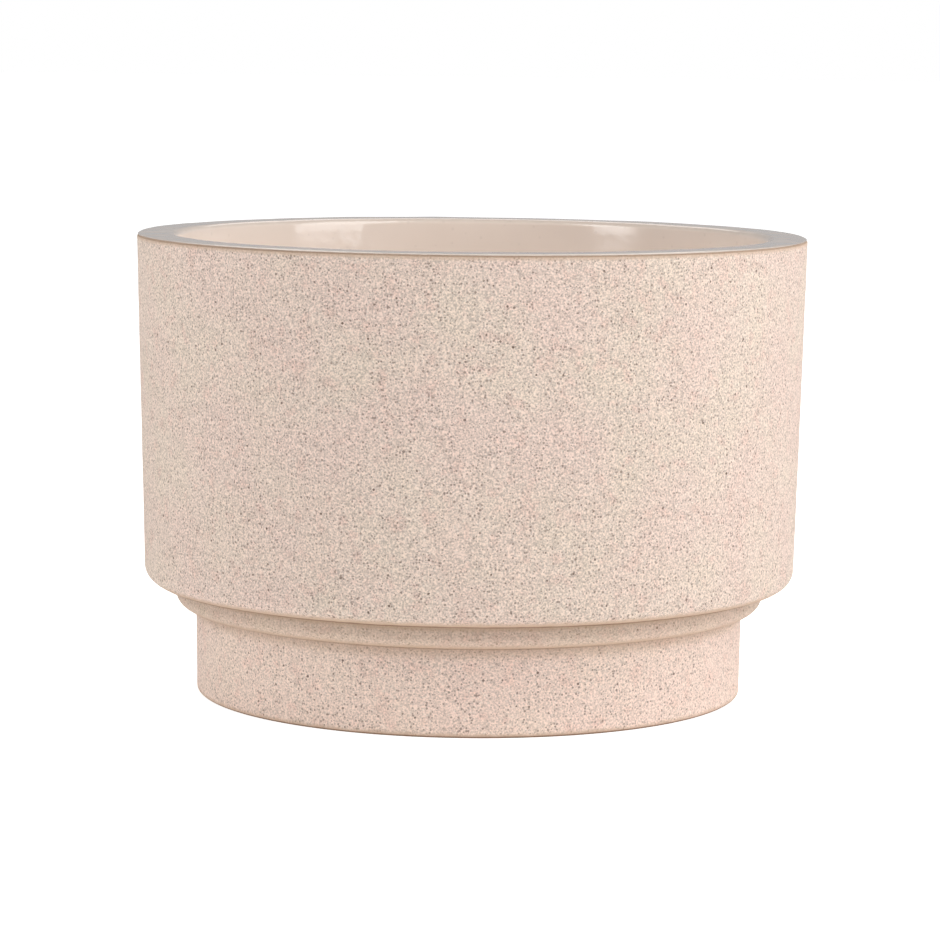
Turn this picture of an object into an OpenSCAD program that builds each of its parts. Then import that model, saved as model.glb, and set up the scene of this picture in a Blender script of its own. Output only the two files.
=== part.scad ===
// Round stepped bonsai pot that lifts off its drip tray.
// The collar rests on the tray's rim, and the spigot below it drops into the tray and centres the pot.
// Origin: the centre of the tray's base, on the surface it stands on. +Z is up.

/* [Pot body] */
// Outside diameter at the rim
rim_d = 200; // [165:1:300]
// Height of the body, from its underside to the rim
body_h = 104; // [80:1:180]
// How much the radius shrinks from the rim down to the underside
body_taper = 2.4; // [0:0.1:5]
// Thickness of the side wall at the rim
wall = 11.5; // [8:0.5:14]
// Thickness of the side wall at its foot
wall_foot = 14; // [10:0.5:16]
// Rounding of the body's lower edge
body_edge_r = 4.7; // [1:0.1:6]
// Rounding of the rim's outer edge
rim_outer_r = 1.5; // [0.5:0.1:3]
// Rounding of the rim's inner edge
rim_inner_r = 2; // [0.5:0.1:4]
// How far the body stands out past the collar
body_overhang = 9.2; // [5:0.1:12]

/* [Collar] */
// Height of the collar between the body and the tray
collar_h = 7.4; // [5:0.1:12]
// Rounding of the collar's lower edge
collar_edge_r = 4; // [1:0.1:4.5]
// How far the collar stands out past the tray
collar_overhang = 6.1; // [4.8:0.1:9]

/* [Spigot and floor] */
// Radial clearance between the spigot and the tray's inner wall
spigot_gap = 2; // [1:0.1:3]
// Thickness of the spigot's wall, which is also the width of the ring under it
spigot_wall = 9; // [7:0.5:12]
// Space for run-off water between the spigot and the tray's floor
water_space = 5; // [4.5:0.1:7]
// How far the pot's underside is recessed inside the spigot's ring
underside_recess = 3; // [2.5:0.1:4]
// Thickness of the pot's floor
floor_t = 9; // [7:0.5:12]
// Thickness of the shelf that joins the side wall to the spigot
shelf_t = 10; // [8:0.5:14]
// Fall of the shelf towards the floor, in degrees
shelf_slope = 25; // [10:1:30]
// Rounding where the side wall meets the shelf
shelf_fillet_r = 8; // [4:0.5:12]
// Rounding of the shelf's inner edge
shelf_edge_r = 6; // [2:0.5:8]
// Rounding where the spigot's inside meets the floor
floor_fillet_r = 4; // [2:0.5:6]

/* [Holes] */
// Diameter of each drain hole
drain_d = 18; // [15.5:0.5:20]
// Gap between a drain screen and the rounding at the edge of the floor
screen_inset = 6; // [3:0.5:10]
// Diameter of each hole for a tie-down wire
wire_hole_d = 5; // [4:0.5:8]
// Distance from the spigot's inside to a wire hole's axis
wire_hole_inset = 12; // [9:0.5:16]
// Width of each weep notch in the spigot's ring
notch_w = 10; // [6:0.5:14]
// Height of each weep notch
notch_h = 2; // [1:0.1:2.3]

/* [Drip tray] */
// Height of the tray
tray_h = 26; // [24:0.5:40]
// How much the tray's radius shrinks from its top to its base
tray_taper = 0.3; // [0:0.1:1.5]
// Thickness of the tray's wall
tray_wall = 7; // [5:0.5:9]
// Thickness of the tray's floor
tray_floor_t = 7; // [5:0.5:9]
// How far the tray's underside is recessed inside its foot ring
tray_recess = 2; // [1:0.5:3]
// Width of the tray's foot ring
tray_ring_w = 10; // [6:0.5:14]
// Rounding of the tray's lower outside edge
tray_base_r = 1.2; // [0.5:0.1:3]
// Rounding of the tray's top edges
tray_top_r = 0.8; // [0.3:0.1:2]
// Rounding inside the tray, where its wall meets its floor
tray_fillet_r = 3; // [1:0.5:5]

/* [Drain screens and clips] */
// Distance between the strands of a screen
mesh_pitch = 3; // [2.8:0.1:3.5]
// Width of a strand
mesh_bar = 0.9; // [0.6:0.1:1]
// Thickness of a screen
mesh_t = 1.2; // [0.8:0.1:2]
// Diameter of the clip wire
clip_d = 1.4; // [1:0.1:1.6]
// Radius of the bends in a clip's legs, at the middle of the wire
clip_bend_r = 1.1; // [1:0.05:1.2]
// Clearance between a clip and what it holds
clip_gap = 0.1; // [0.05:0.05:0.3]
// How far a clip's foot reaches past the edge of its drain hole
clip_foot = 4.5; // [3:0.5:6]

/* [Hidden] */

$fn = 96;
arc_steps = 6;
clip_sides = 8;
mesh_cells = 9;
drains = 3;
first_drain = 90;
through = 1;

stoneware = [0.87, 0.78, 0.71];
black_mesh = [0.10, 0.10, 0.10];
copper_wire = [0.50, 0.32, 0.22];

// Heights
body_z = tray_h + collar_h;
pot_h = body_z + body_h;
tray_floor_z = tray_recess + tray_floor_t;
spigot_z = tray_floor_z + water_space;
underside_z = spigot_z + underside_recess;
floor_z = underside_z + floor_t;
clip_top_z = floor_z + mesh_t + clip_gap + clip_d / 2;
clip_foot_z = underside_z - clip_gap - clip_d / 2;

// Radii
rim_r = rim_d / 2;
body_r = rim_r - body_taper;
collar_r = body_r - body_overhang;
tray_r = collar_r - collar_overhang;
tray_base_out_r = tray_r - tray_taper;
tray_in_r = tray_r - tray_wall;
spigot_r = tray_in_r - spigot_gap;
well_r = spigot_r - spigot_wall;
mesh_w = mesh_cells * mesh_pitch + mesh_bar;
drain_pitch_r = well_r - floor_fillet_r - screen_inset - mesh_w / 2;
wire_pitch_r = well_r - wire_hole_inset;

// Lean of the side wall's outside and inside from the vertical
outer_lean = atan(body_taper / body_h);
inner_lean = atan((body_taper + wall_foot - wall) / body_h);

// The shelf is a straight fall between two roundings, tangent to both
shelf_fillet_c = [body_r - wall_foot - shelf_fillet_r, body_z + shelf_t + shelf_fillet_r];
shelf_top = shelf_fillet_c + shelf_fillet_r * [sin(shelf_slope), -cos(shelf_slope)];
shelf_end_r = well_r + shelf_edge_r * (1 - sin(shelf_slope));
shelf_end_z = shelf_top.y - (shelf_top.x - shelf_end_r) * tan(shelf_slope);
shelf_edge_c = [well_r + shelf_edge_r, shelf_end_z - shelf_edge_r * cos(shelf_slope)];

// A clip is a figure of eight on top of the screen, with a leg down through the drain hole at each end
loop_r = mesh_pitch;
loop_x = 3 * mesh_pitch;
leg_x = 2 * mesh_pitch;
cross_angle = asin(loop_r / loop_x);

function on_circle(angle) = [cos(angle), sin(angle)];

function arc(centre, r, from, to, steps = arc_steps) =
    [for (i = [0 : steps]) centre + r * on_circle(from + (to - from) * i / steps)];

function turned(a) = first_drain + a * 360 / drains;

// Half of the clip's route, from the end of one foot to the middle of the crossing run.
// Every bend lies in the plane of its own leg or in the plane of the loops.
bend_x = -leg_x - clip_bend_r;
foot_bend = arc([bend_x, clip_foot_z + clip_bend_r], clip_bend_r, -90, 0, 3);
leg_bend = arc([bend_x, clip_top_z - clip_bend_r], clip_bend_r, 0, 90, 3);
loop = arc([-loop_x, 0], loop_r, -90, -270 - cross_angle, 9);
clip_half = concat(
    [[-drain_d / 2 - clip_foot, -loop_r, clip_foot_z]],
    [for (p = concat(foot_bend, leg_bend)) [p.x, -loop_r, p.y]],
    [for (p = loop) [p.x, p.y, clip_top_z]]
);

// The other half is the same route turned half a turn about the hole's axis
clip_route = concat(
    clip_half,
    [for (i = [len(clip_half) - 1 : -1 : 0]) [-clip_half[i].x, -clip_half[i].y, clip_half[i].z]]
);

function unit(v) = v / norm(v);

// Direction of the route at each point
function heading(path, i) =
    i == 0 ? unit(path[1] - path[0])
    : i == len(path) - 1 ? unit(path[i] - path[i - 1])
    : unit(unit(path[i + 1] - path[i]) + unit(path[i] - path[i - 1]));

// The ring's first axis is carried from ring to ring, so that the tube doesn't twist
function carried(path, i, u) =
    let (t = heading(path, i), flat = u - (u * t) * t)
    unit(flat);

function frames(path, u, i = 0) =
    i == len(path) ? []
    : let (v = carried(path, i, u)) concat([v], frames(path, v, i + 1));

// Round tube along a route
module tube(path, d, sides, start) {
    axes = frames(path, start);
    points = [
        for (i = [0 : len(path) - 1], k = [0 : sides - 1])
            let (t = heading(path, i), u = axes[i], v = cross(t, u))
            path[i] + d / 2 * (cos(360 * k / sides) * u + sin(360 * k / sides) * v)
    ];
    last = (len(path) - 1) * sides;
    sides_faces = [
        for (i = [0 : len(path) - 2], k = [0 : sides - 1])
            let (a = i * sides + k, b = i * sides + (k + 1) % sides)
            [a, a + sides, b + sides, b]
    ];
    ends = [[for (k = [0 : sides - 1]) k], [for (k = [sides - 1 : -1 : 0]) last + k]];
    polyhedron(points, concat(sides_faces, ends));
}

module at_drain(a) {
    rotate(turned(a)) translate([drain_pitch_r, 0, 0]) children();
}

// Section of the pot, from the axis under the floor, up the outside, over the rim and down the inside
module pot_section() {
    polygon(concat(
        [[0, underside_z], [well_r, underside_z], [well_r, spigot_z]],
        [[spigot_r, spigot_z], [spigot_r, tray_h]],
        arc([collar_r - collar_edge_r, tray_h + collar_edge_r], collar_edge_r, -90, 0),
        [[collar_r, body_z]],
        arc([body_r - body_edge_r, body_z + body_edge_r], body_edge_r, -90, -outer_lean),
        arc([rim_r - rim_outer_r, pot_h - rim_outer_r], rim_outer_r, -outer_lean, 90),
        arc([rim_r - wall + rim_inner_r, pot_h - rim_inner_r], rim_inner_r, 90, 180 - inner_lean),
        arc(shelf_fillet_c, shelf_fillet_r, -inner_lean, shelf_slope - 90),
        arc(shelf_edge_c, shelf_edge_r, 90 + shelf_slope, 180),
        arc([well_r - floor_fillet_r, floor_z + floor_fillet_r], floor_fillet_r, 0, -90),
        [[0, floor_z]]
    ));
}

module floor_hole(pitch_r, d) {
    translate([pitch_r, 0, underside_z - through]) cylinder(d = d, h = floor_t + 2 * through);
}

module weep_notch() {
    translate([well_r - through, -notch_w / 2, spigot_z - through])
        cube([spigot_wall + 2 * through, notch_w, notch_h + through]);
}

module pot_body() {
    color(stoneware) difference() {
        rotate_extrude() pot_section();
        for (a = [0 : drains - 1]) {
            rotate(turned(a)) floor_hole(drain_pitch_r, drain_d);
            rotate(turned(a)) weep_notch();
            rotate(turned(a + 0.5)) floor_hole(wire_pitch_r, wire_hole_d);
        }
    }
}

// Section of the tray, from the axis under its floor, up the outside and down the inside
module tray_section() {
    polygon(concat(
        [[0, tray_recess], [tray_base_out_r - tray_ring_w, tray_recess], [tray_base_out_r - tray_ring_w, 0]],
        arc([tray_base_out_r - tray_base_r, tray_base_r], tray_base_r, -90, 0),
        arc([tray_r - tray_top_r, tray_h - tray_top_r], tray_top_r, 0, 90),
        arc([tray_in_r + tray_top_r, tray_h - tray_top_r], tray_top_r, 90, 180),
        arc([tray_in_r - tray_fillet_r, tray_floor_z + tray_fillet_r], tray_fillet_r, 0, -90),
        [[0, tray_floor_z]]
    ));
}

module drip_tray() {
    color(stoneware) rotate_extrude() tray_section();
}

// Square of moulded mesh that lies over a drain hole and keeps the soil in
module drain_screen(a) {
    opening = mesh_pitch - mesh_bar;
    color(black_mesh) at_drain(a) translate([0, 0, floor_z]) linear_extrude(mesh_t) difference() {
        square(mesh_w, center = true);
        for (i = [0 : mesh_cells - 1], j = [0 : mesh_cells - 1])
            translate(([i, j] - [1, 1] * (mesh_cells - 1) / 2) * mesh_pitch) square(opening, center = true);
    }
}

// Bent wire that holds a screen down: its legs pass through the drain hole and turn out under the floor
module screen_clip(a) {
    color(copper_wire) at_drain(a) tube(clip_route, clip_d, clip_sides, [0, 1, 0]);
}

pot_body();
drip_tray();
drain_screen(0);  // drain_screen_1
drain_screen(1);  // drain_screen_2
drain_screen(2);  // drain_screen_3
screen_clip(0);  // screen_clip_1
screen_clip(1);  // screen_clip_2
screen_clip(2);  // screen_clip_3
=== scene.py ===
"""A turned stoneware bonsai pot on its drip tray, with drain screens held down by bent wire clips."""

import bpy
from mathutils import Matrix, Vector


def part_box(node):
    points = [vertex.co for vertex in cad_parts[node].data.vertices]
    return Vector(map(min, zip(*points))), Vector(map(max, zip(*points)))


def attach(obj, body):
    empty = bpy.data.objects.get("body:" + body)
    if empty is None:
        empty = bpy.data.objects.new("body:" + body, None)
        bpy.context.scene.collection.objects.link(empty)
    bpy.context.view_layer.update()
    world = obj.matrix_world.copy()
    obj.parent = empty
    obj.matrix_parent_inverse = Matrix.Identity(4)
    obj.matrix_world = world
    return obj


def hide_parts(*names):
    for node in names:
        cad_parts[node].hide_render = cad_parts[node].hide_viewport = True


bl_info = {
    "name": "Turned Bonsai Pot",
    "version": (1, 0, 0),
    "blender": (4, 5, 0),
    "location": "View3D > Sidebar > Bonsai Pot",
    "description": "Builds a speckled stoneware pot, its drip tray, drain screens, wire clips and stage",
    "category": "Object",
}

import math

import bmesh
import bpy
from mathutils import Matrix, Vector

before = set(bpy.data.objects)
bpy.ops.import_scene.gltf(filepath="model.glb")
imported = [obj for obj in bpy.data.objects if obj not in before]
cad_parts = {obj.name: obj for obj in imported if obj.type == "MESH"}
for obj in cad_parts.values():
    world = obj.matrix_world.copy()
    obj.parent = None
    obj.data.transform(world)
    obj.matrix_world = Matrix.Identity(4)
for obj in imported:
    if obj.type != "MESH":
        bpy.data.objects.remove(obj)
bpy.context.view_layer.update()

POT_LOW, POT_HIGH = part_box("pot_body")
TRAY_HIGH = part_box("drip_tray")[1]
SCREEN_LOW, SCREEN_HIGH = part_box("drain_screen_1")
MM = 0.001
ROUND_STEPS = 256
DRAIN_ANGLES = (90, 210, 330)  # degrees round the pot from +X
DRAIN_TO_WIRE = 60  # degrees from a drain hole to the next wire hole
FREE_LEVELS = 8  # steps from a surface that stays true to one that moves freely
SWELLS = ((0.035, 0.7), (0.011, 0.3))  # size in metres of a slow and a quick swell, and its share
TURNED_SLACK = 0.5 * MM  # how far a turned piece may leave its CAD node's box
SMALL_SLACK = 0.3 * MM  # how far a screen or a clip may


# ------------------------------------------------------------------ settings

def length(name, description, default):
    """A size in metres that a user can change."""
    return bpy.props.FloatProperty(name=name, description=description, default=default, min=0.0, max=5.0,
                                   precision=4, step=0.01, unit="LENGTH")


def angle(name, description, default, least=-180, most=180):
    """An angle in degrees that a user can change."""
    return bpy.props.FloatProperty(name=name, description=description, default=math.radians(default),
                                   min=math.radians(least), max=math.radians(most), subtype="ANGLE")


def watts(name, description, default):
    """A light's power in watts."""
    return bpy.props.FloatProperty(name=name, description=description, default=default, min=0.0, unit="POWER")


def share(name, description, default):
    """A value from none to all."""
    return bpy.props.FloatProperty(name=name, description=description, default=default, min=0.0, max=1.0,
                                   subtype="FACTOR")


def colour(name, description, default):
    """A linear colour."""
    return bpy.props.FloatVectorProperty(name=name, description=description, default=default, size=3,
                                         min=0.0, max=1.0, subtype="COLOR")


class PotSizes(bpy.types.PropertyGroup):
    """Outline of the pot body."""
    rim_radius: length("Rim radius", "Outside radius at the rim", POT_HIGH.x)
    height: length("Height", "Height of the rim above the ground", POT_HIGH.z)
    body_radius: length("Body radius", "Outside radius of the side wall at its foot", 97.6 * MM)
    body_foot: length("Body foot", "Height of the side wall's foot above the ground", 33.4 * MM)
    body_edge: length("Body edge", "Rounding of the side wall's lower edge", 4.7 * MM)
    wall_at_rim: length("Wall at rim", "Thickness of the side wall at the rim", 11.5 * MM)
    wall_at_foot: length("Wall at foot", "Thickness of the side wall at its foot", 14.0 * MM)
    collar_radius: length("Collar radius", "Radius of the collar under the body", 88.4 * MM)
    collar_edge: length("Collar edge", "Rounding of the collar's lower edge", 4.0 * MM)
    spigot_radius: length("Spigot radius", "Outside radius of the ring that drops into the tray", 73.3 * MM)
    spigot_foot: length("Spigot foot", "Height of that ring's foot above the ground", POT_LOW.z)
    underside: length("Underside", "Height of the floor's underside above the ground", 17.0 * MM)
    well_radius: length("Well radius", "Radius of the well round the drain holes", 64.3 * MM)
    floor: length("Floor", "Height of the floor above the ground", SCREEN_LOW.z)
    shelf: length("Shelf", "Height of the shelf where it meets the side wall", 44.8 * MM)
    shelf_slope: angle("Shelf slope", "Fall of the shelf towards the well", 25, least=0, most=45)
    glaze_lip: length("Glaze lip", "Thickness of the glaze where it ends on the rim", 0.22 * MM)
    drain_ring: length("Drain ring", "Radius of the circle that the drain holes stand on", 40.35 * MM)
    drain_radius: length("Drain radius", "Radius of a drain hole", 9.0 * MM)
    wire_ring: length("Wire ring", "Radius of the circle that the wire holes stand on", 52.3 * MM)
    wire_radius: length("Wire radius", "Radius of a wire hole", 2.5 * MM)
    notch_width: length("Notch width", "Width of a weep notch in the spigot ring", 10.0 * MM)
    notch_height: length("Notch height", "Height of a weep notch", 2.0 * MM)
    unevenness: length("Unevenness", "How far hands have moved the free surfaces", 0.36 * MM)


class TraySizes(bpy.types.PropertyGroup):
    """Outline of the drip tray."""
    rim_radius: length("Rim radius", "Outside radius at the top", TRAY_HIGH.x)
    base_radius: length("Base radius", "Outside radius at the ground", 82.0 * MM)
    height: length("Height", "Height of the tray's rim above the ground", TRAY_HIGH.z)
    wall: length("Wall", "Thickness of the tray's wall", 7.0 * MM)
    floor: length("Floor", "Height of the tray's floor above the ground", 9.0 * MM)
    recess: length("Recess", "Height of the recess under the tray", 2.0 * MM)
    ring_width: length("Ring width", "Width of the ring that the tray stands on", 10.0 * MM)
    unevenness: length("Unevenness", "How far hands have moved the free surfaces", 0.36 * MM)


class ScreenSizes(bpy.types.PropertyGroup):
    """One moulded drain screen."""
    cells: bpy.props.IntProperty(name="Cells", description="Openings along one side", default=9, min=3,
                                 max=15)
    pitch: length("Pitch", "Distance from one bar to the next", 3.0 * MM)
    bar: length("Bar", "Width of a bar", 0.9 * MM)
    thickness: length("Thickness", "Thickness of the screen", SCREEN_HIGH.z - SCREEN_LOW.z)


class ClipSizes(bpy.types.PropertyGroup):
    """One bent wire clip."""
    wire: length("Wire", "Diameter of the wire", 1.4 * MM)
    leg: length("Leg", "Distance of a leg from the drain hole's middle", 7.1 * MM)
    bend: length("Bend", "Radius of the middle of the wire in a bend", 1.1 * MM)
    loop: length("Loop", "Radius of the middle of the wire in a loop", 3.0 * MM)
    loop_place: length("Loop place", "Distance of a loop's middle from the drain hole's middle", 9.0 * MM)
    top: length("Top", "Height of the wire on the screen above the ground", 28.0 * MM)
    foot: length("Foot", "Height of the wire under the floor above the ground", 16.2 * MM)
    foot_end: length("Foot end", "Distance of a foot's end from the drain hole's middle", 13.5 * MM)


class Finishes(bpy.types.PropertyGroup):
    """Colours and surfaces of the pieces."""
    clay: colour("Clay", "Fired clay between the specks", (0.688, 0.563, 0.488))
    clay_pink: colour("Pink clay", "Clay where the firing left it pinker", (0.692, 0.543, 0.472))
    clay_sand: colour("Sandy clay", "Clay where the firing left it yellower", (0.684, 0.570, 0.476))
    blots: colour("Blots", "Small soft blots in the clay", (0.660, 0.470, 0.400))
    # Edge colour: clay rubbed smooth along the edges, and also the tan of the painted shade under the body's
    # overhang.
    clay_edge_and_shade: colour("Edge", "Clay rubbed smooth along the edges", (0.560, 0.400, 0.285))
    sand_contrast: share("Sand contrast", "How far the sandy grain goes from dark to light", 0.52)
    # Dark line colour: the bare clay line under the glaze's edge, and also the painted shadow lines in the
    # creases and at the ground.
    bare_line_and_shadow_line: colour("Rim line", "Bare line under the glaze's edge", (0.230, 0.140, 0.085))
    speck: colour("Speck", "Dark iron specks in the clay", (0.150, 0.100, 0.075))
    grain: colour("Light grain", "Light grains in the clay", (0.900, 0.800, 0.710))
    speck_spacing: length("Speck spacing", "Distance between fine specks", 0.78 * MM)
    speck_share: share("Speck share", "How many places for a fine speck hold one", 0.80)
    glaze: colour("Glaze", "Clear satin glaze on the clay", (0.880, 0.765, 0.680))
    glaze_roughness: share("Glaze roughness", "Roughness of the glaze", 0.12)
    mesh_plastic: colour("Screen plastic", "Black plastic of the drain screens", (0.020, 0.020, 0.020))
    dust: colour("Dust", "Dust on the drain screens", (0.300, 0.270, 0.240))
    wire: colour("Clip wire", "Brown anodised wire of the clips", (0.350, 0.160, 0.080))
    wire_rubbed: colour("Rubbed wire", "Wire rubbed bright where it was bent", (0.660, 0.420, 0.300))


class StageSettings(bpy.types.PropertyGroup):
    """Camera, light and floor."""
    lens: bpy.props.FloatProperty(name="Lens", description="Focal length", default=137.2, min=10.0,
                                  max=300.0, subtype="DISTANCE_CAMERA")
    camera_distance: length("Camera distance", "Distance of the camera in front of the pot's axis", 1.073)
    camera_height: length("Camera height", "Height of the camera above the ground", 0.197)
    camera_pitch: angle("Camera pitch", "How far the camera looks down", 6.95)
    camera_roll: angle("Camera roll", "Turn about the line of sight", 0.60)
    key_power: watts("Key light", "Power of the large soft light on the right", 18.4)
    fill_power: watts("Fill light", "Power of the small soft light on the left", 8.8)
    back_power: watts("Back light", "Power of the wide soft light at the back", 5.0)
    floor_glow: share("Floor glow", "Light that the floor gives off by itself", 0.31)
    floor_white: share("Floor white", "How much brighter the camera sees the floor", 0.42)
    sky: share("Sky", "Brightness of the room at the left and overhead", 0.44)
    sky_right: share("Right of the room", "Brightness of the room at the right", 0.50)
    sky_front: share("Front of the room", "Brightness of the room in front of the pot", 0.12)
    sky_back: share("Back of the room", "Brightness low down behind the pot", 0.40)


class BonsaiPotSettings(bpy.types.PropertyGroup):
    """All the settings of the bonsai pot."""
    pot: bpy.props.PointerProperty(type=PotSizes, name="Pot", description="Sizes of the pot body")
    tray: bpy.props.PointerProperty(type=TraySizes, name="Tray", description="Sizes of the drip tray")
    screen: bpy.props.PointerProperty(type=ScreenSizes, name="Screens",
                                      description="Sizes of the drain screens")
    clip: bpy.props.PointerProperty(type=ClipSizes, name="Clips", description="Sizes of the screen clips")
    finish: bpy.props.PointerProperty(type=Finishes, name="Finishes", description="Colours and surfaces")
    stage: bpy.props.PointerProperty(type=StageSettings, name="Stage", description="Camera, light and floor")


# ------------------------------------------------------------------ modelling

def pick_nothing():
    """Leave edit mode and clear the selection, CAD nodes included."""
    if bpy.context.object and bpy.context.object.mode != "OBJECT":
        bpy.ops.object.mode_set(mode="OBJECT")
    bpy.ops.object.select_all(action="DESELECT")


def pick_pieces(*pieces):
    """Select these objects alone, the first one active."""
    pick_nothing()
    for piece in pieces:
        piece.select_set(True)
    bpy.context.view_layer.objects.active = pieces[0]


def pick_parts(piece, kind, test):
    """Select the open mesh's vertices, edges or faces that pass the test, and say how many there are."""
    bpy.ops.mesh.select_mode(type=kind)
    bpy.ops.mesh.select_all(action="DESELECT")
    mesh = bmesh.from_edit_mesh(piece.data)
    parts = {"VERT": mesh.verts, "EDGE": mesh.edges, "FACE": mesh.faces}[kind]
    found = [part for part in parts if test(part)]
    for part in found:
        part.select_set(True)
    mesh.select_flush_mode()
    bmesh.update_edit_mesh(piece.data)
    return len(found)


def name_piece(name):
    """Name the object just added, and its mesh."""
    piece = bpy.context.object
    piece.name = name
    piece.data.name = name
    return piece


def settle(piece):
    """Put a piece's place and turn into its mesh."""
    pick_pieces(piece)
    bpy.ops.object.transform_apply(location=True, rotation=True, scale=True)


def chain(name, points):
    """Extrude one vertex from point to point."""
    pick_nothing()
    bpy.ops.mesh.primitive_plane_add(size=MM)
    piece = name_piece(name)
    bpy.ops.object.mode_set(mode="EDIT")
    bpy.ops.mesh.select_mode(type="VERT")
    bpy.ops.mesh.select_all(action="SELECT")
    bpy.ops.mesh.merge(type="CENTER")
    bpy.ops.transform.translate(value=points[0])
    for here, there in zip(points, points[1:]):
        bpy.ops.mesh.extrude_region_move(TRANSFORM_OT_translate={"value": there - here})
    return piece


def turn(name, corners, longest=3 * MM, steps=ROUND_STEPS):
    """Turn an outline of (radius, height, rounding) corners about the upright axis into a closed solid."""
    same_place = 0.001 * MM
    degrees_a_step = 9
    points = [Vector((corner[0], 0, corner[1])) for corner in corners]
    piece = chain(name, points)
    for before, here, after, corner in zip(points, points[1:], points[2:], corners[1:]):
        if not corner[2]:
            continue
        bend = (here - before).angle(after - here)
        pick_parts(piece, "VERT", lambda vertex: (vertex.co - here).length < same_place)
        bpy.ops.mesh.bevel(offset=corner[2] * math.tan(bend / 2), affect="VERTICES", profile=0.5,
                           segments=max(3, round(math.degrees(bend) / degrees_a_step)),
                           clamp_overlap=False)
    while pick_parts(piece, "EDGE", lambda edge: edge.calc_length() > longest):
        bpy.ops.mesh.subdivide(number_cuts=1)
    bpy.ops.mesh.select_all(action="SELECT")
    bpy.ops.mesh.spin(steps=steps, angle=math.tau, center=(0, 0, 0), axis=(0, 0, 1))
    bpy.ops.mesh.select_all(action="SELECT")
    bpy.ops.mesh.remove_doubles(threshold=0.004 * MM)
    bpy.ops.mesh.normals_make_consistent(inside=False)
    bpy.ops.object.mode_set(mode="OBJECT")
    return piece


def on_ring(radius, degrees):
    """A point on a circle about the upright axis, at the ground's height."""
    turned = math.radians(degrees)
    return Vector((radius * math.cos(turned), radius * math.sin(turned), 0))


def drill(place, low, high, radius, lip):
    """A cutter for an upright hole whose edges come out rounded."""
    wide, over, beyond = radius + lip + 0.3 * MM, 0.02 * MM, 2 * MM
    cutter = turn("drill", [(0, low - beyond, 0), (wide, low - beyond, 0), (wide, low - over, 0),
                            (radius, low - over, lip), (radius, high + over, lip), (wide, high + over, 0),
                            (wide, high + beyond, 0), (0, high + beyond, 0)], longest=6 * MM, steps=48)
    cutter.location = place
    settle(cutter)
    return cutter


def mill(degrees, near, far, width, low, high):
    """A cutter for a radial notch that is open below, with its two upper edges rounded."""
    pick_nothing()
    bpy.ops.mesh.primitive_cube_add(size=1)
    cutter = name_piece("mill")
    cutter.scale = (far - near, width, high - low)
    cutter.location = ((near + far) / 2, 0, (low + high) / 2)
    settle(cutter)
    bpy.ops.object.mode_set(mode="EDIT")
    pick_parts(cutter, "EDGE", lambda edge: all(end.co.z > high - 0.01 * MM for end in edge.verts)
               and abs(edge.verts[0].co.y - edge.verts[1].co.y) < 0.01 * MM)
    bpy.ops.mesh.bevel(offset=0.7 * MM, segments=4, affect="EDGES")
    bpy.ops.object.mode_set(mode="OBJECT")
    cutter.rotation_euler.z = math.radians(degrees)
    settle(cutter)
    return cutter


def cut(piece, cutters):
    """Cut all the cutters out of a piece."""
    pick_pieces(*cutters)
    bpy.ops.object.join()
    tool = bpy.context.object
    hole = piece.modifiers.new("holes", "BOOLEAN")
    hole.operation = "DIFFERENCE"
    hole.solver = "EXACT"
    hole.object = tool
    apply_modifiers(piece)
    bpy.data.objects.remove(tool, do_unlink=True)


def apply_modifiers(piece):
    """Apply a piece's modifiers in their order."""
    pick_pieces(piece)
    for modifier in list(piece.modifiers):
        bpy.ops.object.modifier_apply(modifier=modifier.name)


def outline_place(point):
    """Radius and height of a point."""
    return math.hypot(point.x, point.y), point.z


def make_uneven(piece, swing, free):
    """Move the free surfaces in and out a little, as hands do, and leave the seats and holes true."""
    levels = {}
    for vertex in piece.data.vertices:
        freedom = max(0.0, min(1.0, free(*outline_place(vertex.co))))
        levels.setdefault(round(freedom * FREE_LEVELS) / FREE_LEVELS, []).append(vertex.index)
    group = piece.vertex_groups.new(name="free_surface")
    for level, vertices in levels.items():
        group.add(vertices, level, "REPLACE")
    for size, part in SWELLS:
        texture = bpy.data.textures.new("hand_unevenness", "CLOUDS")
        texture.noise_scale = size
        texture.noise_depth = 1
        dent = piece.modifiers.new("uneven", "DISPLACE")
        dent.texture = texture
        dent.texture_coords = "LOCAL"
        dent.direction = "NORMAL"
        dent.mid_level = 0.5
        dent.strength = swing * part
        dent.vertex_group = group.name
    apply_modifiers(piece)
    piece.vertex_groups.clear()


def mark_edges(piece, edges):
    """Keep how near each vertex lies to a worn edge, from none to all, as the attribute edge_wear."""
    wear = []
    for vertex in piece.data.vertices:
        radius, height = outline_place(vertex.co)
        wear.append(max(0.0, 1.0 - min(math.hypot(radius - edge[0], height - edge[1]) / edge[2]
                                       for edge in edges)))
    attribute = piece.data.attributes.new("edge_wear", "FLOAT", "POINT")
    attribute.data.foreach_set("value", wear)


def dress(piece, *materials):
    """Give a piece these materials alone."""
    piece.data.materials.clear()
    for material in materials:
        piece.data.materials.append(material)


def coat(piece, clay, glaze, glazed):
    """Give a piece its clay, and its glaze where a face's radius and height pass the test."""
    dress(piece, clay, glaze)
    pick_pieces(piece)
    bpy.ops.object.mode_set(mode="EDIT")
    bpy.ops.mesh.select_all(action="SELECT")
    piece.active_material_index = 0
    bpy.ops.object.material_slot_assign()
    pick_parts(piece, "FACE", lambda face: glazed(*outline_place(face.calc_center_median())))
    piece.active_material_index = 1
    bpy.ops.object.material_slot_assign()
    bpy.ops.object.mode_set(mode="OBJECT")


def smooth(piece, degrees=38):
    """Shade a piece smooth, apart from its sharp edges."""
    pick_pieces(piece)
    bpy.ops.object.shade_smooth_by_angle(angle=math.radians(degrees))


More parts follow.
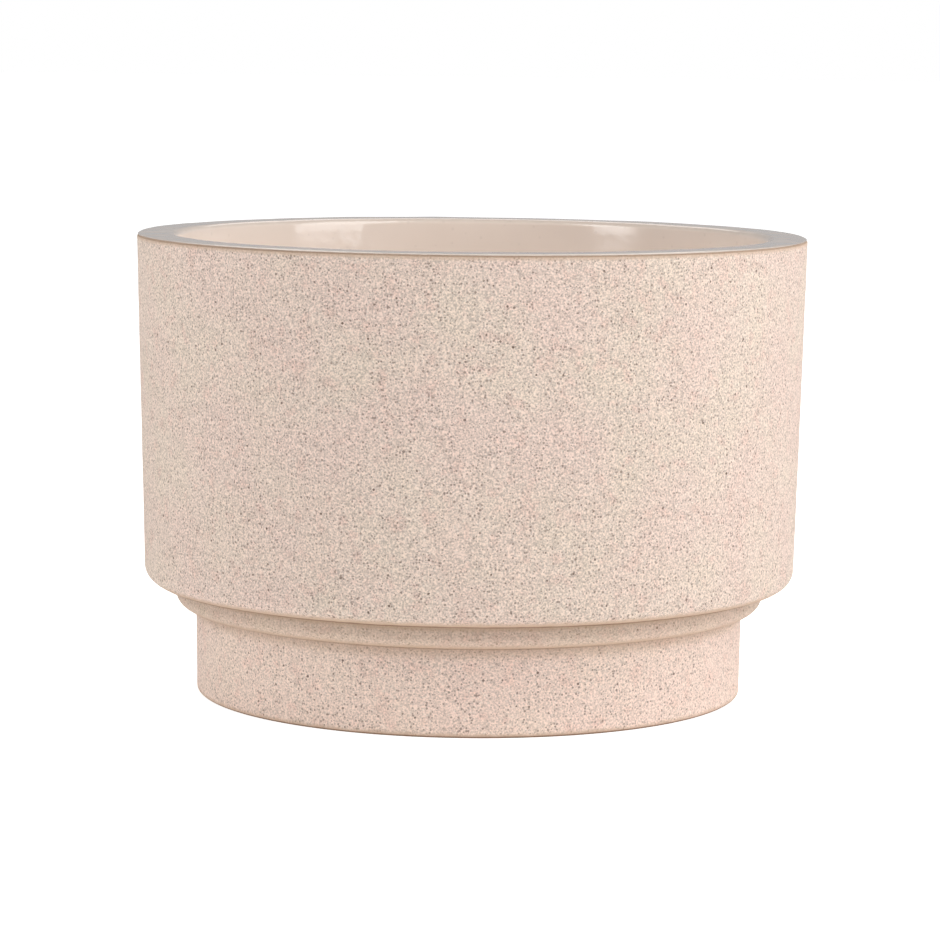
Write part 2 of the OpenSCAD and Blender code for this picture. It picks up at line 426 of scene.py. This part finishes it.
def place_piece(piece, body, cad_node, slack):
    """Check a finished piece against its CAD node's box, and hang it on its body in the node's place."""
    low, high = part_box(cad_node)
    for axis in range(3):
        spots = [vertex.co[axis] for vertex in piece.data.vertices]
        if min(spots) < low[axis] - slack or max(spots) > high[axis] + slack:
            raise RuntimeError(f"{piece.name} reaches past its place on axis {axis}")
    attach(piece, body)
    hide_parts(cad_node)


def set_over_drains(first, name, places, cad_name):
    """Set two copies of a piece and the piece itself at the drain holes, each turned to face outwards."""
    pieces = []
    for _ in DRAIN_ANGLES[1:]:
        twin = first.copy()
        twin.data = first.data.copy()
        bpy.context.collection.objects.link(twin)
        pieces.append(twin)
    pieces.append(first)
    for number, (piece, degrees, place) in enumerate(zip(pieces, DRAIN_ANGLES, places), 1):
        piece.rotation_euler.z = math.radians(degrees)
        piece.location = place
        settle(piece)
        piece.name = piece.data.name = f"{name}_{number}"
        place_piece(piece, "pot", f"{cad_name}_{number}", SMALL_SLACK)


# ------------------------------------------------------------------ materials

def node(tree, kind, inputs=None, **settings):
    """Add a node, set its properties, and link or set its inputs."""
    made = tree.nodes.new(kind)
    for name, value in settings.items():
        setattr(made, name, value)
    for name, value in (inputs or {}).items():
        if isinstance(value, bpy.types.NodeSocket):
            tree.links.new(value, made.inputs[name])
        else:
            made.inputs[name].default_value = value
    return made


def sums(tree, operation, *terms, clamp=False):
    """One Math node's value."""
    made = node(tree, "ShaderNodeMath", dict(enumerate(terms)), operation=operation, use_clamp=clamp)
    return made.outputs[0]


def scaled(tree, vector, factor):
    """A vector or colour times a factor."""
    made = node(tree, "ShaderNodeVectorMath", {0: vector, "Scale": factor}, operation="SCALE")
    return made.outputs["Vector"]


def spread(tree, value, start, end, first=0.0, last=1.0, eased=True):
    """A value brought from one range to another, and held at that range's ends."""
    return node(tree, "ShaderNodeMapRange", {"Value": value, "From Min": start, "From Max": end,
                                             "To Min": first, "To Max": last}, clamp=True,
                interpolation_type="SMOOTHSTEP" if eased else "LINEAR").outputs["Result"]


def blend_colour(tree, amount, first, second):
    """Mix two colours, each a socket or a plain colour."""
    def opaque(tone):
        return tone if isinstance(tone, bpy.types.NodeSocket) else (*tone, 1.0)

    return node(tree, "ShaderNodeMix", {"Factor": amount, 6: opaque(first), 7: opaque(second)},
                data_type="RGBA", blend_type="MIX").outputs[2]


def new_group(name, inputs, outputs):
    """A node group with named sockets: its tree, what it is given and what it puts out."""
    tree = bpy.data.node_groups.new(name, "ShaderNodeTree")
    tree.interface.new_socket(name="Vector", in_out="INPUT", socket_type="NodeSocketVector")
    for label, default in inputs.items():
        socket = tree.interface.new_socket(name=label, in_out="INPUT", socket_type="NodeSocketFloat")
        socket.default_value = default
    for label in outputs:
        tree.interface.new_socket(name=label, in_out="OUTPUT", socket_type="NodeSocketFloat")
    return tree, tree.nodes.new("NodeGroupInput").outputs, tree.nodes.new("NodeGroupOutput").inputs


def place_group(tree, name, inputs):
    """Put a group into a material with its own values, and give its outputs."""
    return node(tree, "ShaderNodeGroup", inputs, node_tree=bpy.data.node_groups[name]).outputs


def build_groups():
    """Build the effects that more than one material uses, if they aren't there yet."""
    if "Specks" not in bpy.data.node_groups:
        build_specks()
        build_grain()
        build_height_band()


def build_specks():
    """Round specks of uneven size, and a chance value for each that tints it."""
    tree, given, put = new_group("Specks", {"Spacing": 0.001, "Size": 0.3, "Softness": 0.1, "Share": 0.7},
                                 ("Mask", "Tint"))
    smallest, size_swing = 0.55, 0.9
    place = scaled(tree, given["Vector"], sums(tree, "DIVIDE", 1.0, given["Spacing"]))
    cells = node(tree, "ShaderNodeTexVoronoi", {"Vector": place, "Scale": 1.0}, voronoi_dimensions="3D",
                 feature="F1").outputs
    chance = node(tree, "ShaderNodeSeparateColor", {"Color": cells["Color"]}).outputs
    reach = sums(tree, "MULTIPLY", given["Size"],
                 sums(tree, "MULTIPLY_ADD", chance["Green"], size_swing, smallest))
    core = sums(tree, "SUBTRACT", reach, given["Softness"])
    inside = spread(tree, cells["Distance"], core, reach, 1.0, 0.0)
    there = sums(tree, "LESS_THAN", chance["Red"], given["Share"])
    tree.links.new(sums(tree, "MULTIPLY", inside, there), put["Mask"])
    tree.links.new(chance["Blue"], put["Tint"])


def build_grain():
    """Soft noise between a low and a high level."""
    tree, given, put = new_group("Grain", {"Size": 0.001, "Detail": 2.0, "Low": 0.35, "High": 0.65},
                                 ("Value",))
    noise = node(tree, "ShaderNodeTexNoise", {"Vector": given["Vector"], "Detail": given["Detail"],
                                              "Scale": sums(tree, "DIVIDE", 1.0, given["Size"])},
                 noise_dimensions="3D").outputs["Fac"]
    tree.links.new(spread(tree, noise, given["Low"], given["High"], eased=False), put["Value"])


def build_height_band():
    """A level band round a piece, with soft and slightly wavy edges."""
    tree, given, put = new_group("Height Band", {"Middle": 0.1, "Half Width": 0.001, "Softness": 0.0005,
                                                 "Wobble": 0.0002}, ("Mask",))
    waves_in_a_metre = 260.0
    height = node(tree, "ShaderNodeSeparateXYZ", {"Vector": given["Vector"]}).outputs["Z"]
    wave = node(tree, "ShaderNodeTexNoise", {"Vector": given["Vector"], "Scale": waves_in_a_metre,
                                             "Detail": 1.0}).outputs["Fac"]
    shift = sums(tree, "MULTIPLY", sums(tree, "SUBTRACT", wave, 0.5), given["Wobble"])
    away = sums(tree, "ABSOLUTE", sums(tree, "SUBTRACT", sums(tree, "ADD", height, shift), given["Middle"]))
    edge = sums(tree, "ADD", given["Half Width"], given["Softness"])
    tree.links.new(spread(tree, away, given["Half Width"], edge, 1.0, 0.0), put["Mask"])


class Recipe:
    """A material in the making: its nodes, its shader's sockets and its Object coordinates."""

    def __init__(self, name, **shader):
        self.material = bpy.data.materials.new(name)
        self.material.use_nodes = True
        self.tree = self.material.node_tree
        self.surface = self.tree.nodes["Principled BSDF"].inputs
        for label, value in shader.items():
            self.surface[label.replace("_", " ")].default_value = value
        self.place = node(self.tree, "ShaderNodeTexCoord").outputs["Object"]

    def grain(self, size, low, high, detail=2.0):
        """Soft noise with features of one size."""
        return place_group(self.tree, "Grain", {"Vector": self.place, "Size": size, "Detail": detail,
                                                "Low": low, "High": high})["Value"]

    def specks(self, spacing, size, softness, part):
        """Specks in a share of the places for them: their mask and their tint."""
        return place_group(self.tree, "Specks", {"Vector": self.place, "Spacing": spacing, "Size": size,
                                                 "Softness": softness, "Share": part})

    def band(self, middle, half, softness, wobble):
        """A level band at one height."""
        return place_group(self.tree, "Height Band", {"Vector": self.place, "Middle": middle,
                                                      "Half Width": half, "Softness": softness,
                                                      "Wobble": wobble})["Mask"]

    def part(self, mask, amount):
        """A share of a mask, where the share is a number or a mask too."""
        return sums(self.tree, "MULTIPLY", mask, amount)

    def paint(self, body, mask, tone):
        """One more colour over the body colour."""
        return blend_colour(self.tree, mask, body, tone)

    def close(self, body, mask, rough, height, strength, distance):
        """Link the colour, the bump, and the roughness at none and all of a mask, and give the material."""
        bump = node(self.tree, "ShaderNodeBump", {"Height": height, "Strength": strength,
                                                  "Distance": distance})
        self.tree.links.new(body, self.surface["Base Color"])
        self.tree.links.new(spread(self.tree, mask, 0.0, 1.0, *rough, eased=False), self.surface["Roughness"])
        self.tree.links.new(bump.outputs["Normal"], self.surface["Normal"])
        return self.material


def stoneware(name, finish, pink, paleness, bands):
    """Speckled fired clay: patches, mottling, specks, light grains, rubbed edges, level bands of bare line
    and painted shade, and a grainy bump.
    """
    clay = Recipe(name, IOR=1.45, Specular_IOR_Level=0.35)
    tree = clay.tree
    edge = node(tree, "ShaderNodeAttribute", attribute_name="edge_wear").outputs["Fac"]
    ragged = clay.part(sums(tree, "SUBTRACT", clay.grain(4 * MM, 0.3, 0.7), 0.5), 0.35)
    rubbed = clay.part(spread(tree, sums(tree, "ADD", edge, ragged), 0.30, 0.95), 0.45)
    clear = sums(tree, "SUBTRACT", 1.0, sums(tree, "MULTIPLY", rubbed, 1.3, clamp=True))

    body = clay.paint(finish.clay_sand, clay.grain(26 * MM, 0.36, 0.64), finish.clay_pink)
    body = clay.paint(body, clay.part(clay.grain(9 * MM, 0.35, 0.65), 0.5), finish.clay)
    body = clay.paint(body, pink, finish.clay_pink)
    body = clay.paint(body, clay.part(clay.grain(4.5 * MM, 0.56, 0.70, 1.0), 0.45), finish.blots)
    sand = clay.grain(0.54 * MM, 0.34, 0.66, 1.5)
    # The paleness factor scales the whole colour; on the tray it is painted bounce light from the floor that
    # lifts the clay.
    body = scaled(tree, body, sums(tree, "MULTIPLY_ADD", clay.part(clear, finish.sand_contrast),
                                   sums(tree, "SUBTRACT", sand, 0.5), paleness))

    light = clay.specks(0.9 * MM, 0.34, 0.20, 0.55)["Mask"]
    body = clay.paint(body, clay.part(light, 0.40), finish.grain)
    fine = clay.specks(finish.speck_spacing, 0.37, 0.14, finish.speck_share)
    coarse = clay.specks(1.9 * MM, 0.165, 0.05, 0.44)
    for spots, faintest, tint_swing in ((fine, 0.18, 0.52), (coarse, 0.36, 0.62)):
        depth = clay.part(sums(tree, "MULTIPLY_ADD", spots["Tint"], tint_swing, faintest), clear)
        body = clay.paint(body, clay.part(spots["Mask"], depth), finish.speck)
    body = clay.paint(body, rubbed, finish.clay_edge_and_shade)
    # Level bands round the piece: the bare line under the glaze, and painted shade and painted shadow lines
    # under the overhang, in the creases and at the ground.
    for middle, half, softness, wobble, tone, amount in bands:
        body = clay.paint(body, clay.part(clay.band(middle, half, softness, wobble), amount), tone)

    grains = sums(tree, "SUBTRACT", clay.part(light, 0.5), clay.part(coarse["Mask"], 0.8))
    height = sums(tree, "ADD", clay.part(sand, 0.6), grains)
    return clay.close(body, rubbed, (0.88, 0.62), height, 0.55, 0.10 * MM)


def satin_glaze(name, finish):
    """Clear satin glaze over the clay: faint specks below it, painted shade along the rim's top, and a slow
    ripple in its highlights.
    """
    glaze = Recipe(name, IOR=1.6)
    body = glaze.paint(finish.glaze, glaze.part(glaze.grain(22 * MM, 0.35, 0.65), 0.15), finish.clay_sand)
    below = glaze.specks(2.4 * MM, 0.24, 0.20, 0.5)["Mask"]
    body = glaze.paint(body, glaze.part(below, 0.07), finish.speck)
    # Painted shade: the rim's top is darkened all round, standing in for the dark reflection that the far rim
    # shows.
    rim_top_shade = glaze.band(POT_HIGH.z, 0.35 * MM, 1.2 * MM, 0.4 * MM)
    body = glaze.paint(body, glaze.part(rim_top_shade, 0.30), finish.bare_line_and_shadow_line)
    matt = glaze.grain(7 * MM, 0.30, 0.70, 3.0)
    rough = (finish.glaze_roughness - 0.04, finish.glaze_roughness + 0.06)
    ripple = glaze.grain(5 * MM, 0.2, 0.8, 1.0)
    return glaze.close(body, matt, rough, ripple, 0.35, 0.12 * MM)


def screen_plastic(name, finish):
    """Black moulded plastic, slightly dusty and grained."""
    plastic = Recipe(name, IOR=1.5)
    dusty = plastic.grain(2.5 * MM, 0.45, 0.75, 4.0)
    body = plastic.paint(finish.mesh_plastic, plastic.part(dusty, 0.10), finish.dust)
    fine = plastic.grain(0.35 * MM, 0.2, 0.8, 1.0)
    return plastic.close(body, dusty, (0.38, 0.62), fine, 0.3, 0.02 * MM)


def clip_wire(name, finish):
    """Brown anodised wire with rubbed, brighter spots where it was bent."""
    wire = Recipe(name, Metallic=1.0)
    rubbed = wire.grain(1.8 * MM, 0.52, 0.72, 3.0)
    body = wire.paint(finish.wire, wire.part(rubbed, 0.45), finish.wire_rubbed)
    scratch = wire.grain(0.25 * MM, 0.2, 0.8, 1.0)
    return wire.close(body, rubbed, (0.42, 0.26), scratch, 0.25, 0.015 * MM)


def find_material(name, make, **values):
    """A material that was made already, or a new one."""
    return bpy.data.materials.get(name) or make(name, **values)


# ------------------------------------------------------------------ pieces

class BONSAI_OT_pot_body(bpy.types.Operator):
    """Turn the pot body, drill its floor and glaze its inside"""
    bl_idname = "bonsai.pot_body"
    bl_label = "Pot Body"
    bl_options = {"REGISTER", "UNDO"}

    def execute(self, context):
        settings = context.scene.bonsai_pot
        pot, finish = settings.pot, settings.finish
        build_groups()
        outer, top = pot.rim_radius, pot.height
        glaze_line = top - 0.36 * MM
        shelf_radius = pot.body_radius - pot.wall_at_foot - 0.2 * MM
        shelf_fall = (shelf_radius - pot.well_radius) * math.tan(pot.shelf_slope)
        piece = turn("turned_pot", [
            (0, pot.underside, 0),
            (pot.well_radius, pot.underside, 1.0 * MM),
            (pot.well_radius, pot.spigot_foot, 0.8 * MM),
            (pot.spigot_radius, pot.spigot_foot, 1.0 * MM),
            (pot.spigot_radius, TRAY_HIGH.z, 0.6 * MM),
            (pot.collar_radius, TRAY_HIGH.z, pot.collar_edge),
            (pot.collar_radius, pot.body_foot, 0.6 * MM),
            (pot.body_radius, pot.body_foot, pot.body_edge),
            (outer - 0.02 * MM, top - 1.00 * MM, 0.8 * MM),
            (outer - 0.20 * MM - pot.glaze_lip, glaze_line, 0),
            (outer - 0.20 * MM, glaze_line + 0.10 * MM, 0.06 * MM),
            (outer - 0.70 * MM, top, 0.6 * MM),
            (outer - pot.wall_at_rim, top, 2.0 * MM),
            (shelf_radius, pot.shelf, 8.0 * MM),
            (pot.well_radius, pot.shelf - shelf_fall, 6.0 * MM),
            (pot.well_radius, pot.floor, 4.0 * MM),
            (0, pot.floor, 0)])

        drain_lip, wire_lip, notch_run = 0.9 * MM, 0.6 * MM, 3 * MM
        cutters = []
        for degrees in DRAIN_ANGLES:
            cutters.append(drill(on_ring(pot.drain_ring, degrees), pot.underside, pot.floor,
                                 pot.drain_radius, drain_lip))
            cutters.append(drill(on_ring(pot.wire_ring, degrees + DRAIN_TO_WIRE), pot.underside, pot.floor,
                                 pot.wire_radius, wire_lip))
            cutters.append(mill(degrees, pot.well_radius - notch_run, pot.spigot_radius + notch_run,
                                pot.notch_width, pot.spigot_foot - 2 * MM,
                                pot.spigot_foot + pot.notch_height))
        cut(piece, cutters)

        def free(radius, height):
            """How freely a spot may move: the spigot, the seat and the floor stay true."""
            if radius > pot.spigot_radius + 1 * MM:
                return (height - TRAY_HIGH.z) / (4 * MM)
            return (height - pot.floor - 4 * MM) / (8 * MM)

        make_uneven(piece, pot.unevenness, free)
        # Worn edges: the rim, the body's lower edge and the collar's lower edge; on the two lower edges the
        # darker edge tone is partly painted shade.
        mark_edges(piece, [(outer, top - 0.4 * MM, 1.8 * MM),
                           (pot.body_radius - 2.4 * MM, pot.body_foot + 0.6 * MM, 3.2 * MM),
                           (pot.collar_radius - 2.2 * MM, TRAY_HIGH.z + 0.5 * MM, 2.4 * MM)])

        bands = [  # middle, half width, softness, wobble, colour, amount
            (glaze_line - 0.50 * MM, 0.40 * MM, 0.6 * MM, 0.5 * MM, finish.clay_edge_and_shade, 0.45),
            (glaze_line, 0.36 * MM, 0.20 * MM, 0.2 * MM, finish.bare_line_and_shadow_line, 0.46),
            # Painted shade: the whole collar face tinted darker and tan, as in the body's overhang shadow.
            ((pot.body_foot + TRAY_HIGH.z) / 2, 3.6 * MM, 1.2 * MM, 1.0 * MM, finish.clay_edge_and_shade, 0.36),
            # Painted shade: darker, warmer tan on the body's lower rounded edge.
            (pot.body_foot, 0.9 * MM, 1.5 * MM, 1.0 * MM, finish.clay_edge_and_shade, 0.74),
            # Painted shadow: a dark line in the crease under the body's lower edge.
            (pot.body_foot, 0.30 * MM, 0.55 * MM, 0.3 * MM, finish.bare_line_and_shadow_line, 1.0),
            # Painted shade on the collar's lower edge.
            (TRAY_HIGH.z, 0.50 * MM, 1.40 * MM, 1.0 * MM, finish.clay_edge_and_shade, 0.50),
            # Painted shadow: a dark line at the seat where the collar meets the tray.
            (TRAY_HIGH.z, 0.10 * MM, 0.40 * MM, 0.3 * MM, finish.bare_line_and_shadow_line, 0.70)]
        clay = find_material("speckled stoneware", stoneware, finish=finish, pink=0.0, paleness=1.0,
                             bands=bands)
        glaze = find_material("satin glaze", satin_glaze, finish=finish)

        def glazed(radius, height):
            """Whether a face is inside the vessel or on its rim."""
            low_down = height < pot.floor + 10 * MM
            inner = (pot.well_radius + pot.spigot_radius) / 2 if low_down else outer - pot.wall_at_rim / 2
            return height > glaze_line + 0.02 * MM or (height > pot.floor - 0.45 * MM and radius < inner)

        coat(piece, clay, glaze, glazed)
        smooth(piece)
        place_piece(piece, "pot", "pot_body", TURNED_SLACK)
        return {"FINISHED"}


class BONSAI_OT_drip_tray(bpy.types.Operator):
    """Turn the drip tray that the pot stands in"""
    bl_idname = "bonsai.drip_tray"
    bl_label = "Drip Tray"
    bl_options = {"REGISTER", "UNDO"}

    def execute(self, context):
        settings = context.scene.bonsai_pot
        tray, finish = settings.tray, settings.finish
        build_groups()
        inside = tray.rim_radius - tray.wall
        glaze_line = tray.height - 1.8 * MM
        piece = turn("turned_tray", [
            (0, tray.recess, 0),
            (tray.base_radius - tray.ring_width, tray.recess, 0.6 * MM),
            (tray.base_radius - tray.ring_width, 0, 0.8 * MM),
            (tray.base_radius, 0, 1.2 * MM),
            (tray.rim_radius, tray.height, 0.8 * MM),
            (inside, tray.height, 0.8 * MM),
            (inside, glaze_line, 0),
            (inside - 0.16 * MM, glaze_line - 0.12 * MM, 0.06 * MM),
            (inside - 0.16 * MM, tray.floor, 3.0 * MM),
            (0, tray.floor, 0)])

        def free(radius, height):
            """How freely a spot may move: the foot and the rim stay true."""
            return min(height - 1.5 * MM, tray.height - 1.5 * MM - height) / (4 * MM)

        make_uneven(piece, tray.unevenness, free)
        mark_edges(piece, [(tray.base_radius, 0, 2.2 * MM), (tray.rim_radius, tray.height, 1.6 * MM),
                           (inside, tray.height, 1.6 * MM)])
        bands = [  # middle, half width, softness, wobble, colour, amount
            # Painted shade on the tray's top, under the pot's overhang.
            (tray.height, 1.5 * MM, 3.2 * MM, 1.2 * MM, finish.clay_edge_and_shade, 0.42),
            # The foot's edge in warm tan: partly the bare clay line at the foot, partly painted shade near
            # the ground.
            (0, 0.7 * MM, 1.2 * MM, 1.0 * MM, finish.clay_edge_and_shade, 0.60),
            # Painted contact shadow: a dark line where the tray meets the ground.
            (0, 0.35 * MM, 0.45 * MM, 0.2 * MM, finish.bare_line_and_shadow_line, 0.95)]
        # The tray's clay is paler overall as painted light, standing in for the floor's bounce light on the
        # tray; its pink is its own colour.
        clay = find_material("speckled stoneware, tray", stoneware, finish=finish, pink=0.45, paleness=1.13,
                             bands=bands)
        glaze = find_material("satin glaze", satin_glaze, finish=finish)

        def glazed(radius, height):
            """Whether a face is inside the tray, below the glaze's edge."""
            return (tray.recess + 1 * MM < height < glaze_line - 0.02 * MM
                    and radius < inside + 0.3 * MM)

        coat(piece, clay, glaze, glazed)
        smooth(piece)
        place_piece(piece, "tray", "drip_tray", TURNED_SLACK)
        return {"FINISHED"}


class BONSAI_OT_drain_screens(bpy.types.Operator):
    """Mould one drain screen and lay a copy over each drain hole"""
    bl_idname = "bonsai.drain_screens"
    bl_label = "Drain Screens"
    bl_options = {"REGISTER", "UNDO"}

    def execute(self, context):
        settings = context.scene.bonsai_pot
        screen, finish = settings.screen, settings.finish
        build_groups()
        pick_nothing()
        half = screen.cells * screen.pitch / 2
        bpy.ops.mesh.primitive_grid_add(x_subdivisions=screen.cells, y_subdivisions=screen.cells,
                                        size=2 * half)
        first = name_piece("screen_blank")
        bpy.ops.object.mode_set(mode="EDIT")
        bpy.ops.mesh.select_mode(type="FACE")
        bpy.ops.mesh.select_all(action="SELECT")
        bpy.ops.mesh.inset(thickness=screen.bar / 2, use_individual=True)
        bpy.ops.mesh.delete(type="FACE")
        for axis in range(2):
            for side in (-1, 1):
                pick_parts(first, "VERT", lambda vertex: vertex.co[axis] * side > half - 0.01 * MM)
                step = Vector((0, 0, 0))
                step[axis] = side * screen.bar / 2
                bpy.ops.transform.translate(value=step)
        bpy.ops.mesh.select_all(action="SELECT")
        bpy.ops.mesh.normals_make_consistent(inside=False)
        bpy.ops.object.mode_set(mode="OBJECT")
        thick = first.modifiers.new("thickness", "SOLIDIFY")
        thick.thickness = screen.thickness
        thick.offset = 0
        soft = first.modifiers.new("moulded edges", "BEVEL")
        soft.width = 0.16 * MM
        soft.segments = 2
        soft.limit_method = "ANGLE"
        soft.angle_limit = math.radians(40)
        apply_modifiers(first)
        smooth(first, 50)
        dress(first, find_material("moulded plastic", screen_plastic, finish=finish))
        first.location = (0, 0, SCREEN_LOW.z + screen.thickness / 2)
        settle(first)
        places = []
        for number in range(1, len(DRAIN_ANGLES) + 1):
            low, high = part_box(f"drain_screen_{number}")
            places.append(((low.x + high.x) / 2, (low.y + high.y) / 2, 0))
        set_over_drains(first, "moulded_screen", places, "drain_screen")
        return {"FINISHED"}


class BONSAI_OT_screen_clips(bpy.types.Operator):
    """Bend one wire clip and set a copy through each drain hole"""
    bl_idname = "bonsai.screen_clips"
    bl_label = "Screen Clips"
    bl_options = {"REGISTER", "UNDO"}

    def execute(self, context):
        settings = context.scene.bonsai_pot
        clip, finish, pot = settings.clip, settings.finish, settings.pot
        build_groups()
        out, side, up = Vector((1, 0, 0)), Vector((0, 1, 0)), Vector((0, 0, 1))

        def arc(middle, radius, start, end, across, rise, steps):
            """Points on an arc from one angle to another."""
            angles = [math.radians(start + (end - start) * step / steps) for step in range(steps + 1)]
            return [middle + across * radius * math.cos(turned) + rise * radius * math.sin(turned)
                    for turned in angles]

        def taper(end, onward):
            """Points close behind a cut end, where the wire grows to its full thickness."""
            return [end + (onward - end).normalized() * step * clip.wire for step in (0.04, 0.16, 0.5)]

        cross = math.degrees(math.asin(clip.loop / clip.loop_place))
        half = [Vector((-clip.foot_end, -clip.loop, clip.foot))]
        half += arc(Vector((-clip.leg, -clip.loop, clip.foot + clip.bend)), clip.bend, -90, 0, out, up, 8)
        half += arc(Vector((-clip.leg, -clip.loop, clip.top - clip.bend)), clip.bend, 0, 90, out, up, 8)
        half += arc(Vector((-clip.loop_place, 0, clip.top)), clip.loop, -90, -270 - cross, out, side, 28)
        route = half + [Vector((-point.x, -point.y, point.z)) for point in reversed(half)]
        route = [route[0], *taper(route[0], route[1]), *route[1:-1],
                 *reversed(taper(route[-1], route[-2])), route[-1]]
        pick_pieces(chain("clip_blank", route))
        bpy.ops.object.convert(target="CURVE")
        wire = bpy.context.object.data
        wire.dimensions = "3D"
        wire.bevel_depth = clip.wire / 2
        wire.bevel_resolution = 3
        wire.use_fill_caps = True
        points = wire.splines[0].points
        for place, size in enumerate((0.25, 0.58, 0.86)):
            points[place].radius = size
            points[-1 - place].radius = size
        bpy.ops.object.convert(target="MESH")
        first = bpy.context.object
        smooth(first, 60)
        dress(first, find_material("anodised wire", clip_wire, finish=finish))
        places = [on_ring(pot.drain_ring, degrees) for degrees in DRAIN_ANGLES]
        set_over_drains(first, "bent_clip", places, "screen_clip")
        return {"FINISHED"}


# ------------------------------------------------------------------ stage

def soft_light(name, power, azimuth, elevation, distance, width, height):
    """A rectangular light that faces the middle of the pot."""
    middle = Vector((0, 0, POT_HIGH.z / 2))
    flat = math.cos(math.radians(elevation))
    away = Vector((math.sin(math.radians(azimuth)) * flat, -math.cos(math.radians(azimuth)) * flat,
                   math.sin(math.radians(elevation))))
    pick_nothing()
    bpy.ops.object.light_add(type="AREA", location=middle + away * distance,
                             rotation=away.to_track_quat("Z", "Y").to_euler())
    lamp = name_piece(name)
    lamp.data.shape = "RECTANGLE"
    lamp.data.size = width
    lamp.data.size_y = height
    lamp.data.energy = power
    lamp.visible_camera = False


def lay_floor(stage):
    """A wide white floor that glows a little, so that its shadows stay faint."""
    pick_nothing()
    bpy.ops.mesh.primitive_plane_add(size=30)
    floor = name_piece("studio_floor")
    paper = Recipe("white paper", Roughness=0.9, Base_Color=(0.93, 0.93, 0.93, 1), Specular_IOR_Level=0.1,
                   Emission_Color=(1, 1, 1, 1))
    seen = node(paper.tree, "ShaderNodeLightPath").outputs["Is Camera Ray"]
    glow = sums(paper.tree, "MULTIPLY_ADD", seen, stage.floor_white, stage.floor_glow)
    paper.tree.links.new(glow, paper.surface["Emission Strength"])
    dress(floor, paper.material)


def light_room(stage):
    """A grey room round the pot that the camera sees as white."""
    world = bpy.data.worlds.new("studio room")
    bpy.context.scene.world = world
    world.use_nodes = True
    tree = world.node_tree
    tree.nodes.clear()
    seen = node(tree, "ShaderNodeLightPath").outputs["Is Camera Ray"]
    way = node(tree, "ShaderNodeSeparateXYZ", {
        "Vector": node(tree, "ShaderNodeTexCoord").outputs["Generated"]}).outputs
    right = spread(tree, way["X"], 0.1, 0.9)
    front = spread(tree, way["Y"], -0.3, -0.95)
    low_back = sums(tree, "MULTIPLY", spread(tree, way["Z"], 0.10, 0.55, 1.0, 0.0),
                    spread(tree, way["Y"], 0.1, 0.7))
    grey = blend_colour(tree, right, (stage.sky,) * 3, (stage.sky_right,) * 3)
    grey = blend_colour(tree, front, grey, (stage.sky_front,) * 3)
    grey = blend_colour(tree, low_back, grey, (stage.sky_back * 0.97, stage.sky_back, stage.sky_back * 1.04))
    shown = blend_colour(tree, seen, grey, (1.0, 1.0, 1.0))
    background = node(tree, "ShaderNodeBackground", {"Color": shown}).outputs["Background"]
    tree.links.new(background, node(tree, "ShaderNodeOutputWorld").inputs["Surface"])


class BONSAI_OT_stage(bpy.types.Operator):
    """Set the floor, the soft light, the room and the camera"""
    bl_idname = "bonsai.stage"
    bl_label = "Stage"
    bl_options = {"REGISTER", "UNDO"}

    def execute(self, context):
        stage = context.scene.bonsai_pot.stage
        lay_floor(stage)
        soft_light("key_light", stage.key_power, azimuth=62, elevation=34, distance=1.6, width=0.96,
                   height=1.80)
        soft_light("fill_light", stage.fill_power, azimuth=-62, elevation=28, distance=1.6, width=0.50,
                   height=1.30)
        soft_light("back_light", stage.back_power, azimuth=180, elevation=42, distance=1.8, width=1.20,
                   height=0.80)
        light_room(stage)
        context.scene.view_settings.view_transform = "Standard"

        aim = Matrix.Rotation(math.radians(90) - stage.camera_pitch, 3, "X") @ Matrix.Rotation(
            stage.camera_roll, 3, "Z")
        pick_nothing()
        bpy.ops.object.camera_add(location=(0, -stage.camera_distance, stage.camera_height),
                                  rotation=aim.to_euler())
        camera = name_piece("studio_camera")
        camera.data.lens = stage.lens
        camera.data.sensor_width = 36.0
        camera.data.clip_end = 60.0
        context.scene.camera = camera
        return {"FINISHED"}


# ------------------------------------------------------------------ add-on

class BONSAI_PT_builder(bpy.types.Panel):
    """Sizes, finishes and one button for each piece"""
    bl_label = "Bonsai Pot"
    bl_idname = "BONSAI_PT_builder"
    bl_space_type = "VIEW_3D"
    bl_region_type = "UI"
    bl_category = "Bonsai Pot"

    def draw(self, context):
        settings = context.scene.bonsai_pot
        for label, group, button in (("Pot body", settings.pot, "bonsai.pot_body"),
                                     ("Drip tray", settings.tray, "bonsai.drip_tray"),
                                     ("Drain screens", settings.screen, "bonsai.drain_screens"),
                                     ("Screen clips", settings.clip, "bonsai.screen_clips"),
                                     ("Finishes", settings.finish, None),
                                     ("Stage", settings.stage, "bonsai.stage")):
            box = self.layout.box()
            box.label(text=label)
            for setting in group.__annotations__:
                box.prop(group, setting)
            if button:
                box.operator(button)


CLASSES = (PotSizes, TraySizes, ScreenSizes, ClipSizes, Finishes, StageSettings, BonsaiPotSettings,
           BONSAI_OT_pot_body, BONSAI_OT_drip_tray, BONSAI_OT_drain_screens, BONSAI_OT_screen_clips,
           BONSAI_OT_stage, BONSAI_PT_builder)


def register():
    for made in CLASSES:
        bpy.utils.register_class(made)
    bpy.types.Scene.bonsai_pot = bpy.props.PointerProperty(type=BonsaiPotSettings, name="Bonsai pot",
                                                           description="Settings of the bonsai pot")


def unregister():
    del bpy.types.Scene.bonsai_pot
    for made in reversed(CLASSES):
        bpy.utils.unregister_class(made)


def main():
    register()
    bpy.ops.bonsai.pot_body()
    bpy.ops.bonsai.drip_tray()
    bpy.ops.bonsai.drain_screens()
    bpy.ops.bonsai.screen_clips()
    bpy.ops.bonsai.stage()


if __name__ == "__main__":
    main()
